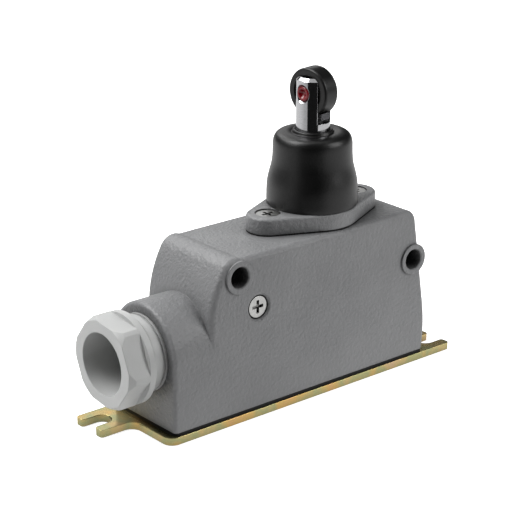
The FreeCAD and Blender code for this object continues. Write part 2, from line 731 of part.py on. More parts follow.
def head_flange():
    body = new_body("head_flange")
    shape = sketch(body, "flange_outline", "XY_Plane", FLANGE_LOW)
    diamond(shape)
    pad(body, shape, "flange_thick")
    dress(body, "Fillet", "flange_round", lambda edge: level(edge, FLANGE_HIGH))
    neck = sketch(body, "neck_outline", "XY_Plane", FLANGE_HIGH)
    circle(neck, "neck_radius")
    pad(body, neck, f"neck_top - {FLANGE_HIGH}")
    spigot = sketch(body, "spigot_outline", "XY_Plane", FLANGE_LOW)
    circle(spigot, "spigot_radius")
    pad(body, spigot, "spigot_drop", backwards=True)
    bore = sketch(body, "guide_bore_outline", "XY_Plane", "neck_top")
    circle(bore, "guide_bore")
    pocket(body, bore, f"neck_top - {FLANGE_LOW} + spigot_drop")
    recesses = sketch(body, "head_recesses", "XY_Plane", FLANGE_HIGH)
    head_circles(recesses, "head_recess")
    pocket(body, recesses, "head_recess_depth")
    holes = sketch(body, "flange_screw_holes", "XY_Plane", FLANGE_HIGH)
    head_circles(holes, "metal_screw_bore")
    pocket(body, holes, "flange_thick")
    return piece(body, "head_flange")


def head_screws():
    screws = []
    top = f"({FLANGE_HIGH} - head_screw_sunk)"
    under = f"{top} - head_screw_head_depth"
    for count, end in enumerate(("-head_screw_reach", "head_screw_reach")):
        name = f"head_screw_{count}"
        at = (end, "0")
        blank = fuse(
            f"{name}_blank",
            cylinder(f"{name}_head", "z", "head_screw_head", (under, top), at),
            cylinder(f"{name}_shank", "z", "metal_screw", ("head_screw_end", under), at),
        )
        screws.append(cut(name, blank, *cross_recess(name, "z", top, -1, at)))
    return piece(group("head_screws", screws), "head_screws")


def guide_bush():
    item = ring("guide_bush", "z", "bush_bore", "bush_outer", ("bush_bottom", "neck_top"))
    return piece(item, "guide_bush")


# Rubber boot, its clamp washer and the springs


def rubber_boot():
    body = new_body("rubber_boot")
    profile = sketch(body, "boot_profile", "XZ_Plane")
    outline(
        profile,
        [
            ("boot_foot", FLANGE_HIGH),
            ("boot_skirt", FLANGE_HIGH),
            ("boot_skirt_high", "boot_skirt_top"),
            ("boot_shoulder", "boot_shoulder_height"),
            ("boot_waist", "boot_waist_height"),
            ("boot_neck", "boot_neck_top"),
            ("boot_rim", "boot_rim_height"),
            ("boot_crown", "boot_crown_height"),
            ("boot_groove", "boot_groove_height"),
            ("boot_lip", "boot_lip_top"),
            ("boot_hole", "boot_lip_top"),
            ("boot_hole", "boot_roof"),
            ("boot_neck - boot_wall", "boot_roof"),
            ("boot_waist - boot_wall", "boot_waist_height - boot_wall"),
            ("boot_skirt_high - boot_wall", "boot_skirt_top"),
            ("boot_skirt_high - boot_wall", CLAMP_LOW),
            ("boot_foot", CLAMP_LOW),
        ],
        {2: ("boot_bend", 1), 3: ("boot_bend", -1), 5: ("boot_rim_bend", 1)},
    )
    spin(body, profile)
    return piece(body, "rubber_boot")


def boot_clamp_washer():
    item = ring("boot_clamp_washer", "z", "clamp_bore", "clamp_outer", (CLAMP_LOW, CLAMP_HIGH))
    return piece(item, "boot_clamp_washer")


def spring(name, mean, wire, turns, low, high):
    """A round-wire compression spring standing between two heights."""
    path = doc.addObject("Part::Helix", f"{name}_path")
    bind(path, "Height", f"({high}) - ({low}) - 2 * {wire}")
    bind(path, "Pitch", f"(({high}) - ({low}) - 2 * {wire}) / {turns}")
    bind(path, "Radius", mean)
    bind(path, "Placement.Base.z", f"({low}) + {wire}")
    section = doc.addObject("Part::Circle", f"{name}_wire")
    section.Placement = Placement(Vector(), Rotation(Vector(1, 0, 0), 90))
    bind(section, "Radius", wire)
    place(section, x=mean, z=f"({low}) + {wire}")
    doc.recompute()
    item = doc.addObject("Part::Sweep", name)
    item.Sections = [section]
    item.Spine = (path, [f"Edge{index + 1}" for index in range(len(path.Shape.Edges))])
    item.Solid = True
    item.Frenet = True
    return piece(item, name)


def springs():
    spring("return_spring", "return_mean", "return_wire", "return_turns", CLAMP_HIGH, SEAT_LOW)
    ends = ("push_head_high", "push_bore_top")
    spring("overtravel_spring", "over_mean", "over_wire", "over_turns", *ends)


def spring_seat():
    item = ring("spring_seat", "z", "seat_bore", "seat_outer", (SEAT_LOW, "clip_low"))
    return piece(item, "spring_seat")


# Plunger, its clip, the push pin inside it and the roller


def above_pin(height):
    return f"({height}) - pin_height"


def plunger():
    body = new_body("plunger")
    profile = sketch(body, "plunger_profile", "XZ_Plane")
    outline(
        profile,
        [
            ("push_bore", above_pin("plunger_bottom")),
            ("plunger_collar", above_pin("plunger_bottom")),
            ("plunger_collar", above_pin("plunger_bottom + collar_thick")),
            ("plunger_radius", above_pin("plunger_bottom + collar_thick")),
            ("plunger_radius", above_pin("clip_low")),
            ("clip_groove", above_pin("clip_low")),
            ("clip_groove", above_pin("clip_high")),
            ("plunger_radius", above_pin("clip_high")),
            ("plunger_radius", above_pin("plunger_top")),
            ("0", above_pin("plunger_top")),
            ("0", above_pin("push_bore_top")),
            ("push_bore", above_pin("push_bore_top")),
        ],
    )
    spin(body, profile)
    dress(body, "Chamfer", "ear_chamfer", lambda edge: level(edge, above_pin("plunger_top")))
    slot = sketch(body, "clevis_slot", "XZ_Plane")
    high = above_pin("plunger_top + past")
    rectangle(slot, ("-slot_half", "slot_half"), (above_pin("slot_floor"), high))
    pocket(body, slot, "2 * (plunger_radius + past)", both_ways=True)
    bore = sketch(body, "pin_hole", "YZ_Plane")
    circle(bore, "pin_bore")
    pocket(body, bore, "2 * (plunger_radius + past)", both_ways=True)
    sinks = sketch(body, "pin_sinks", "XZ_Plane")
    inner = "plunger_radius - pin_sink_depth"
    outer = "plunger_radius + past"
    widest = "pin_bore + (pin_sink - pin_bore) * (pin_sink_depth + past) / pin_sink_depth"
    for sign in ("", "-1 * "):
        corners = [(inner, "0"), (outer, "0"), (outer, widest), (inner, "pin_bore")]
        outline(sinks, [(f"{sign}({x})", z) for x, z in corners])
    spin(body, sinks, "H_Axis", "Groove")
    turned(body)
    place(body, z="pin_height")
    return piece(body, "plunger")


def plunger_clip():
    """A snap ring in the plunger's groove, open on one side."""
    span = ("clip_low", "clip_high")
    whole = ring("plunger_clip_ring", "z", "clip_groove + fit_gap", "clip_outer", span)
    gap = box(
        "plunger_clip_gap",
        ("0", "clip_outer + past"),
        ("-clip_gap", "clip_gap"),
        ("clip_low - past", "clip_high + past"),
    )
    return piece(cut("plunger_clip", whole, gap), "plunger_clip")


def push_pin():
    shank = cylinder("push_pin_shank", "z", "push_radius", ("push_bottom", "push_head_low"))
    head = cylinder("push_pin_head", "z", "push_head", ("push_head_low", "push_head_high"))
    return piece(fuse("push_pin", shank, head), "push_pin")


def pin_retainer():
    span = ("retainer_low", "retainer_high")
    item = ring("pin_retainer", "z", "retainer_bore", "retainer_outer", span)
    return piece(item, "pin_retainer")


def roller():
    body = new_body("roller")
    half = "roller_width / 2"
    dished = f"{half} - roller_dish_depth"
    profile = sketch(body, "roller_profile", "XZ_Plane")
    outline(
        profile,
        [
            (f"-({dished})", "roller_bore"),
            (dished, "roller_bore"),
            (dished, "roller_dish"),
            (half, "roller_dish"),
            (half, "roller_radius - roller_round"),
            (f"{half} - roller_round", "roller_radius"),
            (f"-({half} - roller_round)", "roller_radius"),
            (f"-{half}", "roller_radius - roller_round"),
            (f"-{half}", "roller_dish"),
            (f"-({dished})", "roller_dish"),
        ],
        {4: ("roller_round", 1), 6: ("roller_round", 1)},
    )
    spin(body, profile, "H_Axis")
    turned(body)
    place(body, z="pin_height")
    return piece(body, "roller")


def roller_bush():
    span = ("-roller_bush_half", "roller_bush_half")
    item = ring("roller_bush", "x", "roller_bush_bore", "roller_bush_outer", span)
    turned(item)
    place(item, z="pin_height")
    return piece(item, "roller_bush")


def roller_pin():
    """A pin with bevelled ends, each with a coned dimple in the middle."""
    body_end = "pin_half - pin_dome"
    dimple_end = "pin_half - pin_dimple_depth"
    shank = cylinder("roller_pin_shank", "x", "pin_radius", (f"-({body_end})", body_end))
    right = cone("roller_pin_right", "x", ("pin_radius", "pin_end"), (body_end, "pin_half"))
    left = cone("roller_pin_left", "x", ("pin_end", "pin_radius"), ("-pin_half", f"-({body_end})"))
    solid = fuse("roller_pin_solid", shank, left, right)
    narrow_wide = ("pin_dimple_floor", "pin_dimple")
    wide_narrow = ("pin_dimple", "pin_dimple_floor")
    right_dimple = cone("roller_pin_right_dimple", "x", narrow_wide, (dimple_end, "pin_half"))
    left_dimple = cone("roller_pin_left_dimple", "x", wide_narrow, ("-pin_half", f"-({dimple_end})"))
    item = cut("roller_pin", solid, right_dimple, left_dimple)
    turned(item)
    place(item, z="pin_height")
    return piece(item, "roller_pin")


# Basic switch


def switch_case():
    body = new_body("switch_case")
    block = sketch(body, "case_outline", "XY_Plane", "case_bottom")
    rectangle(block, ("case_left", "case_right"), ("-case_half", "case_half"))
    pad(body, block, "case_split - case_bottom")
    hollow = sketch(body, "case_hollow", "XY_Plane", "case_bottom + case_wall")
    inner = "case_half - case_wall"
    rectangle(hollow, ("case_left + case_wall", "case_right - case_wall"), (f"-({inner})", inner))
    pocket(body, hollow, "case_split - case_bottom - case_wall", backwards=True)
    bosses = sketch(body, "case_bosses", "XZ_Plane")
    for centre in CASE_SCREWS:
        circle(bosses, "case_boss", centre)
    pad(body, bosses, "2 * case_half", both_ways=True)
    through = sketch(body, "case_screw_holes", "XZ_Plane")
    for centre in CASE_SCREWS:
        circle(through, "case_screw_bore", centre)
    pocket(body, through, "2 * (case_half + past)", both_ways=True)
    sinks = sketch(body, "case_screw_sinks", "XZ_Plane", "-case_half")
    for centre in CASE_SCREWS:
        circle(sinks, "case_sink", centre)
    pocket(body, sinks, "case_half - case_sink_floor", backwards=True)
    slots = sketch(body, "post_slots", "XY_Plane", "case_bottom")
    for x, y in POSTS.values():
        wide = (f"{x[0]} - fit_gap", f"{x[1]} + fit_gap")
        deep = (f"{y[0]} - fit_gap", f"{y[1]} + fit_gap")
        rectangle(slots, wide, deep)
    for centre in TERMINAL_SCREWS.values():
        circle(slots, "case_screw_bore", centre)
    pocket(body, slots, "case_wall", backwards=True)
    return piece(body, "switch_case")


def switch_cover():
    whole = ("case_left", "case_right"), ("-case_half", "case_half"), ("case_split", "case_top")
    inner = "case_half - case_wall"
    hollow = (
        ("case_left + case_wall", "case_right - case_wall"),
        (f"-({inner})", inner),
        ("case_split - past", "case_top - cover_roof"),
    )
    item = cut(
        "switch_cover",
        box("switch_cover_block", *whole),
        box("switch_cover_hollow", *hollow),
        cylinder("switch_cover_hole", "z", "button_hole", ("case_split", "case_top + past")),
    )
    return piece(item, "switch_cover")


def switch_button():
    stem = cylinder("switch_button_stem", "z", "button_radius", ("button_bottom", "button_top"))
    span = ("button_flange_low", "button_flange_high")
    flange = cylinder("switch_button_flange", "z", "button_flange", span)
    return piece(fuse("switch_button", stem, flange), "switch_button")


def snap_blade():
    """The strip that carries the moving contact; it tilts on the roll across its left end."""
    x, y = ("blade_left", "blade_right"), ("-blade_half", "blade_half")
    strip = box("snap_blade_strip", x, y, ("blade_low", "blade_high"))
    at = ("blade_pivot", "(blade_low + blade_high) / 2")
    roll = cylinder("snap_blade_roll", "y", "blade_roll", y, at)
    through = ("blade_low - past", "blade_high + past")
    hole = cylinder("snap_blade_hole", "z", "contact_radius", through, CONTACT)
    piece(cut("snap_blade", fuse("snap_blade_blank", strip, roll), hole), "snap_blade")
    span = ("contact_low", "contact_high")
    moving = cylinder("moving_contact", "z", "contact_radius", span, CONTACT)
    return piece(moving, "moving_contact")


def terminal(kind, top, extras=()):
    """A brass strip: a foot under the case and a post through its floor."""
    name = f"{kind}_terminal"
    post = box(f"{name}_post", *POSTS[kind], (FOOT_LOW, top))
    foot = box(f"{name}_foot", *FEET[kind], (FOOT_LOW, "case_bottom"))
    through = (f"{FOOT_LOW} - past", "case_bottom + past")
    hole = cylinder(f"{name}_hole", "z", "case_screw_bore", through, TERMINAL_SCREWS[kind])
    return piece(cut(name, fuse(f"{name}_strip", post, foot, *extras), hole), name)


def terminals():
    terminal("common", "(blade_low + blade_high) / 2 - blade_roll - fit_gap")
    span = ("upper_fixed_high", "upper_fixed_high + strip_thick")
    arm = box(
        "closed_arm",
        ("closed_post_left", "closed_hand_left"),
        ("closed_arm_near", "closed_far"),
        span,
    )
    hand = box(
        "closed_hand",
        ("closed_hand_left", "closed_hand_right"),
        ("closed_hand_near", "closed_far"),
        span,
    )
    terminal("closed", span[1], (arm, hand))
    terminal("open", "lower_fixed_low")


def fixed_contacts():
    spans = {
        "lower": ("lower_fixed_low", "lower_fixed_high"),
        "upper": ("upper_fixed_low", "upper_fixed_high"),
    }
    rivets = [
        cylinder(f"{name}_fixed_contact", "z", "fixed_radius", span, CONTACT)
        for name, span in spans.items()
    ]
    return piece(group("fixed_contacts", rivets), "fixed_contacts")


def terminal_screws():
    screws = []
    low = "terminal_head_low"
    for kind, at in TERMINAL_SCREWS.items():
        name = f"{kind}_terminal_screw"
        blank = fuse(
            f"{name}_blank",
            cylinder(f"{name}_head", "z", "terminal_head", (low, FOOT_LOW), at),
            cylinder(f"{name}_shank", "z", "case_screw", (FOOT_LOW, "terminal_screw_top"), at),
        )
        screws.append(cut(name, blank, *cross_recess(name, "z", low, 1, at)))
    return piece(group("terminal_screws", screws), "terminal_screws")


# Bracket, lock screw and earth screw


def switch_bracket():
    y = ("bracket_front", "bracket_back")
    plate_z = ("bracket_low", "case_top")
    plate = box("bracket_plate", ("bracket_left", "bracket_right"), y, plate_z)
    ear_z = ("bracket_ear_low", "bracket_ear_top")
    ear = box("bracket_ear", ("bracket_ear_left", "bracket_ear_right"), y, ear_z)
    through = ("bracket_front - past", "bracket_back + past")
    holes = [
        cylinder(f"bracket_hole_{count}", "y", "case_screw_bore", through, at)
        for count, at in enumerate(CASE_SCREWS)
    ]
    lock_at = ("lock_x", "lock_height")
    holes.append(cylinder("bracket_lock_hole", "y", "bracket_bore", through, lock_at))
    return piece(cut("switch_bracket", fuse("bracket_blank", plate, ear), *holes), "switch_bracket")


def switch_screws():
    screws = []
    top = "(case_half - case_screw_sunk)"
    shank_y = ("switch_screw_end", "case_sink_floor")
    for count, at in enumerate(CASE_SCREWS):
        name = f"switch_screw_{count}"
        blank = fuse(
            f"{name}_blank",
            cylinder(f"{name}_head", "y", "case_screw_head", ("case_sink_floor", top), at),
            cylinder(f"{name}_shank", "y", "case_screw", shank_y, at),
        )
        screws.append(cut(name, blank, *cross_recess(name, "y", top, -1, at)))
    return piece(group("switch_screws", screws), "switch_screws")


def lock_screw():
    at = ("lock_x", "lock_height")
    blank = fuse(
        "lock_screw_blank",
        cylinder("lock_screw_head", "y", "lock_head", ("lock_head_front", "lock_recess_floor"), at),
        cylinder("lock_screw_shank", "y", "lock_shank", ("lock_recess_floor", "lock_end"), at),
    )
    item = cut("lock_screw", blank, *cross_recess("lock_screw", "y", "lock_head_front", 1, at))
    return piece(item, "lock_screw")


def earth_screw():
    at = ("earth_x", "earth_height")
    span = ("earth_washer_face", "earth_boss_face")
    piece(ring("earth_washer", "y", "earth_bore", "earth_washer", span, at), "earth_washer")
    head = ("earth_head_face", "earth_washer_face")
    blank = fuse(
        "earth_screw_blank",
        cylinder("earth_screw_head", "y", "earth_head", head, at),
        cylinder("earth_screw_shank", "y", "earth_shank", ("earth_washer_face", "earth_end"), at),
    )
    item = cut("earth_screw", blank, *cross_recess("earth_screw", "y", "earth_head_face", 1, at))
    return piece(item, "earth_screw")


# Cable gland


def gland_screw():
    body = new_body("gland_screw")
    hexagon = sketch(body, "gland_hexagon", "YZ_Plane", "gland_front")
    angles = [f"({60 * side} + gland_tilt)" for side in range(6)]
    corners = [(f"-gland_corner * cos({a})", f"gland_corner * sin({a})") for a in angles]
    outline(hexagon, corners)
    pad(body, hexagon, "gland_hex_end - gland_front")
    turned_off = sketch(body, "gland_corners_outline", "XZ_Plane")
    outline(
        turned_off,
        [
            ("gland_front", "gland_face_radius"),
            ("gland_front + gland_front_bevel", "gland_radius"),
            ("gland_hex_end", "gland_radius"),
            ("gland_hex_end", "gland_corner + past"),
            ("gland_front", "gland_corner + past"),
        ],
    )
    spin(body, turned_off, "H_Axis", "Groove")
    round_end = sketch(body, "gland_round_profile", "XZ_Plane")
    outline(
        round_end,
        [
            ("gland_hex_end", "gland_bore"),
            ("gland_end", "gland_bore"),
            ("gland_end", "gland_shank"),
            (WASHER_FACE, "gland_shank"),
            (WASHER_FACE, "gland_groove"),
            ("gland_collar_end", "gland_groove"),
            ("gland_collar_end", "gland_collar"),
            ("gland_flange_end", "gland_collar"),
            ("gland_flange_end", "gland_flange - gland_flange_bevel"),
            ("gland_flange_end - gland_flange_bevel", "gland_flange"),
            ("gland_hex_end", "gland_flange"),
        ],
    )
    spin(body, round_end, "H_Axis")
    bore = sketch(body, "gland_bore_outline", "YZ_Plane", "gland_front")
    circle(bore, "gland_bore")
    pocket(body, bore, "gland_end - gland_front", backwards=True)
    place(body, z="conduit_height")
    return piece(body, "gland_screw")


def gland_packing():
    """The washer outside the conduit and, inside it, the cable seal between two thrust rings."""
    at = ("0", "conduit_height")
    span = (WASHER_FACE, "conduit_face")
    piece(ring("gland_washer", "x", "washer_bore", "washer_outer", span, at), "gland_washer")
    rings = []
    for name, low in (("outer", "gland_end + ring_gap"), ("inner", "conduit_floor - ring_thick")):
        span = (low, f"{low} + ring_thick")
        rings.append(ring(f"{name}_thrust_ring", "x", "gland_bore", "seal_outer", span, at))
    piece(group("thrust_rings", rings), "thrust_rings")
    span = ("gland_end + ring_gap + ring_thick", "conduit_floor - ring_thick")
    return piece(ring("cable_seal", "x", "seal_bore", "seal_outer", span, at), "cable_seal")


def write_parts():
    doc.recompute()
    for item in doc.Objects:
        if "Invalid" in item.State or "Error" in item.State:
            raise RuntimeError(f"{item.Label} failed to recompute: {item.State}")
    for item in pieces:
        if item.Shape.isNull() or not item.Shape.isValid() or not item.Shape.Solids:
            raise RuntimeError(f"{item.Label} has no valid solid")
    os.makedirs("parts", exist_ok=True)
    for item in pieces:
        item.Shape.exportStep(os.path.join("parts", f"{item.Label}.step"))


base_plate()
base_gasket()
insulator_sheet()
base_screws()
housing()
head_gasket()
head_flange()
head_screws()
guide_bush()
rubber_boot()
boot_clamp_washer()
springs()
spring_seat()
plunger()
plunger_clip()
push_pin()
pin_retainer()
roller()
roller_bush()
roller_pin()
switch_case()
switch_cover()
switch_button()
snap_blade()
terminals()
fixed_contacts()
terminal_screws()
switch_bracket()
switch_screws()
lock_screw()
earth_screw()
gland_screw()
gland_packing()
write_parts()
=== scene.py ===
import json
import math

import bmesh
import bpy
from mathutils import Matrix, Vector

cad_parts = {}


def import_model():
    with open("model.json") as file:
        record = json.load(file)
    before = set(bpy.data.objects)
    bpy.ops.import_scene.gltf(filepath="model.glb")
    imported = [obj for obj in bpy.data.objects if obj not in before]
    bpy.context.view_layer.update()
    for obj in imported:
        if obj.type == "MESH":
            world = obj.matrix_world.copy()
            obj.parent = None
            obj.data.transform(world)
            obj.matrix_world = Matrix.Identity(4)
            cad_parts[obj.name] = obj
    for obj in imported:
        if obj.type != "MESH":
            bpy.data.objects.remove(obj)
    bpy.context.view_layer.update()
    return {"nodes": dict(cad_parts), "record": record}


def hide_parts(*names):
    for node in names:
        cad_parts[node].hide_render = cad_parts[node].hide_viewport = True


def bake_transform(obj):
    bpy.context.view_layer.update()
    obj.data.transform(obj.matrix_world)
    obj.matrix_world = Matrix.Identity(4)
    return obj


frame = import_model()

MM = 0.001
CAMERA_PLACE = Vector((-0.30155, -0.33530, 0.19893))
CAMERA_AZIMUTH = math.radians(-40.09)
CAMERA_ELEVATION = math.radians(20.18)
CAMERA_ROLL = math.radians(0.18)
CAMERA_LENS = 128.68


# ---------------------------------------------------------------- materials


class Nodes:
    """A short way to write a material's node tree."""

    def __init__(self, name):
        self.material = bpy.data.materials.new(name)
        self.material.use_nodes = True
        self.tree = self.material.node_tree
        self.tree.nodes.clear()
        self.output = self.add("ShaderNodeOutputMaterial")
        self.shader = self.add("ShaderNodeBsdfPrincipled")
        self.join(self.shader, "BSDF", self.output, "Surface")
        self.place = self.add("ShaderNodeTexCoord")

    def add(self, kind, **values):
        node = self.tree.nodes.new(kind)
        for key, value in values.items():
            setattr(node, key, value)
        return node

    def join(self, source, output, target, socket):
        self.tree.links.new(source.outputs[output], target.inputs[socket])

    def set(self, **values):
        for key, value in values.items():
            self.shader.inputs[key.replace("_", " ")].default_value = value

    def spot(self, stretch=None):
        """The place that textures are read at, in metres, stretched if asked."""
        if stretch is None:
            return self.place, "Object"
        mapping = self.add("ShaderNodeMapping")
        mapping.inputs["Scale"].default_value = stretch
        self.join(self.place, "Object", mapping, "Vector")
        return mapping, "Vector"

    def noise(self, scale, detail=2.0, roughness=0.5, stretch=None):
        node = self.add("ShaderNodeTexNoise")
        node.inputs["Scale"].default_value = scale
        node.inputs["Detail"].default_value = detail
        node.inputs["Roughness"].default_value = roughness
        self.join(*self.spot(stretch), node, "Vector")
        return node

    def cells(self, scale):
        node = self.add("ShaderNodeTexVoronoi", feature="SMOOTH_F1")
        node.inputs["Scale"].default_value = scale
        self.join(self.place, "Object", node, "Vector")
        return node

    def ramp(self, source, output, stops):
        node = self.add("ShaderNodeValToRGB")
        elements = node.color_ramp.elements
        while len(elements) < len(stops):
            elements.new(0.5)
        for element, (position, colour) in zip(elements, stops):
            element.position = position
            element.color = colour if len(colour) == 4 else (*colour, 1)
        self.join(source, output, node, "Fac")
        return node

    def span(self, source, output, low, high, start=0.0, end=1.0):
        node = self.add("ShaderNodeMapRange")
        node.inputs["From Min"].default_value = start
        node.inputs["From Max"].default_value = end
        node.inputs["To Min"].default_value = low
        node.inputs["To Max"].default_value = high
        self.join(source, output, node, "Value")
        return node

    def soft_edges(self, radius):
        """Rounds sharp edges in the shading only."""
        node = self.add("ShaderNodeBevel", samples=6)
        node.inputs["Radius"].default_value = radius
        self.join(node, "Normal", self.shader, "Normal")
        return node

    def bump(self, source, output, height, strength, under):
        """Bump of a height in metres, on top of the bevel or bump that under is."""
        node = self.add("ShaderNodeBump")
        node.inputs["Distance"].default_value = height
        node.inputs["Strength"].default_value = strength
        self.join(source, output, node, "Height")
        self.join(under, "Normal", node, "Normal")
        self.join(node, "Normal", self.shader, "Normal")
        return node

    def colour(self, source, output, painted_shade=None):
        """Base colour; when a (reach, darkest share) pair is given, shade is painted into it in
        crevices.
        """
        if painted_shade is None:
            self.join(source, output, self.shader, "Base Color")
            return
        reach, darkest = painted_shade
        # Painted shade: ambient occlusion darkens the base colour in crevices.
        shade = self.add("ShaderNodeAmbientOcclusion", samples=8)
        shade.inputs["Distance"].default_value = reach
        share = self.span(shade, "AO", darkest, 1.0, 0.12, 0.80)
        mix = self.add("ShaderNodeMix", data_type="RGBA", blend_type="MULTIPLY")
        mix.inputs[0].default_value = 1.0
        self.tree.links.new(source.outputs[output], mix.inputs[6])
        self.tree.links.new(share.outputs["Result"], mix.inputs[7])
        self.tree.links.new(mix.outputs[2], self.shader.inputs["Base Color"])


# Painted crevice shade: how far it reaches, in metres, and the share of the colour left in its
# darkest spot.
CASTING_PAINTED_SHADE = (0.006, 0.02)
PLATE_PAINTED_SHADE = (0.006, 0.10)
SCREW_PAINTED_SHADE = (0.003, 0.10)
PIN_PAINTED_SHADE = (0.001, 0.10)


def grey(value):
    return (value, value, value, 1)


def enamel():
    """Grey paint on a casting: soft lumps a millimetre across, small pits, a little gloss, and
    shade painted into its crevices.
    """
    n = Nodes("enamel")
    drift = n.noise(45, 4, 0.6)
    tint = n.ramp(drift, "Fac", [(0.32, (0.178, 0.180, 0.184)), (0.68, (0.212, 0.214, 0.218))])
    # Painted shade: the paint darkens in the casting's holes and creases.
    n.colour(tint, "Color", CASTING_PAINTED_SHADE)
    lumps = n.noise(1000, 3, 0.55)
    n.join(n.span(lumps, "Fac", 0.32, 0.50), "Result", n.shader, "Roughness")
    base = n.bump(lumps, "Fac", 0.00036, 0.9, n.soft_edges(0.0004))
    pits = n.cells(1700)
    n.bump(pits, "Distance", 0.00010, 0.5, base)
    return n.material


def zinc_plate():
    """Yellow chromated zinc: metal under a film that drifts between yellow, green and pink."""
    n = Nodes("zinc_plate")
    drift = n.noise(75, 3, 0.55)
    stops = [
        (0.30, (0.66, 0.36, 0.20)),
        (0.42, (0.66, 0.44, 0.15)),
        (0.52, (0.42, 0.42, 0.20)),
        (0.62, (0.60, 0.45, 0.20)),
        (0.74, (0.60, 0.38, 0.30)),
    ]
    # Painted shade: the film's colour darkens in crevices, such as under the conduit.
    n.colour(n.ramp(drift, "Fac", stops), "Color", PLATE_PAINTED_SHADE)
    n.set(Metallic=0.85)
    grain = n.noise(2500, 2)
    n.join(n.span(grain, "Fac", 0.15, 0.32), "Result", n.shader, "Roughness")
    n.bump(grain, "Fac", 0.00002, 0.6, n.soft_edges(0.0003))
    return n.material


def rubber(name, dark, light, rough, shine):
    """Moulded rubber with a fine grain and a worn bloom."""
    n = Nodes(name)
    bloom = n.noise(110, 4, 0.6)
    n.colour(n.ramp(bloom, "Fac", [(0.35, grey(dark)), (0.75, grey(light))]), "Color")
    n.join(n.span(bloom, "Fac", rough - 0.05, rough + 0.08), "Result", n.shader, "Roughness")
    n.set(Specular_IOR_Level=shine)
    n.bump(n.noise(2600, 3, 0.6), "Fac", 0.00004, 0.7, n.soft_edges(0.00025))
    return n.material


def metal(name, colour, rough, streak=(1, 1, 1), depth=0.000004, spread=0.12, painted_shade=None):
    """Bare or plated metal. streak stretches its marks along the axis it was worked on."""
    n = Nodes(name)
    marks = n.noise(900, 4, 0.6, streak)
    lighter = tuple(min(1, c * 1.12) for c in colour)
    darker = tuple(c * 0.86 for c in colour)
    # Shade is painted into crevices when a (reach, darkest share) pair is given.
    n.colour(n.ramp(marks, "Fac", [(0.3, darker), (0.7, lighter)]), "Color", painted_shade)
    n.set(Metallic=1.0)
    n.join(n.span(marks, "Fac", rough, rough + spread), "Result", n.shader, "Roughness")
    n.bump(marks, "Fac", depth, 0.5, n.soft_edges(0.00015))
    return n.material


def plastic(name, dark, light, rough, depth=0.00002, edge=0.00035, painted_shade=None, shine=0.5):
    """Moulded plastic, slightly cloudy, with the mould's fine texture."""
    n = Nodes(name)
    cloud = n.noise(90, 3)
    # Shade is painted into crevices when a (reach, darkest share) pair is given.
    n.colour(n.ramp(cloud, "Fac", [(0.3, dark), (0.7, light)]), "Color", painted_shade)
    texture = n.noise(1500, 3)
    n.join(n.span(texture, "Fac", rough, rough + 0.14), "Result", n.shader, "Roughness")
    n.set(Specular_IOR_Level=shine)
    n.bump(texture, "Fac", depth, 0.5, n.soft_edges(edge))
    return n.material


MATERIALS = {
    "enamel": enamel(),
    "zinc_plate": zinc_plate(),
    "gasket_rubber": rubber("gasket_rubber", 0.002, 0.004, 0.60, shine=0.25),
    "boot_rubber": rubber("boot_rubber", 0.0010, 0.0028, 0.36, shine=0.42),
    "sheet_insulation": plastic("sheet_insulation", (0.35, 0.18, 0.08), (0.42, 0.24, 0.1), 0.5),
    # Painted shade: the screw steel darkens in its recesses.
    "screw_steel": metal("screw_steel", (0.46, 0.46, 0.45), 0.28, painted_shade=SCREW_PAINTED_SHADE),
    "washer_steel": metal("washer_steel", (0.50, 0.50, 0.49), 0.28),
    "spring_steel": metal("spring_steel", (0.42, 0.42, 0.43), 0.25),
    "chrome": metal("chrome", (0.40, 0.40, 0.41), 0.05, (1, 1, 8), 0.000001, 0.06),
    "ground_steel": metal("ground_steel", (0.50, 0.50, 0.50), 0.2, (1, 1, 10)),
    # Painted shade: the pin end darkens in its dimple.
    "pin_end_red": plastic(
        "pin_end_red", (0.15, 0.0, 0.004), (0.20, 0.001, 0.006), 0.14, 0.000005, 0.0004, PIN_PAINTED_SHADE
    ),
    "roller_plastic": plastic("roller_plastic", grey(0.002), grey(0.004), 0.28, shine=0.35),
    "bronze": metal("bronze", (0.50, 0.33, 0.16), 0.35),
    "gland_plastic": plastic("gland_plastic", (0.42, 0.425, 0.42), (0.47, 0.475, 0.47), 0.36),
    "gland_washer_plastic": plastic("gland_washer_plastic", grey(0.34), grey(0.40), 0.4),
    "switch_plastic": plastic("switch_plastic", (0.03, 0.02, 0.016), (0.05, 0.03, 0.024), 0.4),
    "button_plastic": plastic("button_plastic", (0.35, 0.02, 0.01), (0.42, 0.03, 0.015), 0.25),
    "brass": metal("brass", (0.68, 0.47, 0.20), 0.25),
    "copper_blade": metal("copper_blade", (0.70, 0.40, 0.23), 0.22),
    "silver": metal("silver", (0.80, 0.80, 0.78), 0.2),
}
SLOTS = {part["node"]: part["material_slot"] for part in frame["record"]["subparts"]}


def wear(piece, name):
    piece.data.materials.clear()
    piece.data.materials.append(MATERIALS[name])


for node, slot_name in SLOTS.items():
    wear(frame["nodes"][node], slot_name)


# ---------------------------------------------------------------- pieces


def new_piece(name, slot_name, work):
    """Makes an object of a bmesh, shaded smooth, in one of the record's finishes."""
    mesh = bpy.data.meshes.new(name)
    bmesh.ops.recalc_face_normals(work, faces=work.faces)
    work.to_mesh(mesh)
    work.free()
    mesh.polygons.foreach_set("use_smooth", [True] * len(mesh.polygons))
    piece = bpy.data.objects.new(name, mesh)
    bpy.context.scene.collection.objects.link(piece)
    wear(piece, slot_name)
    return piece


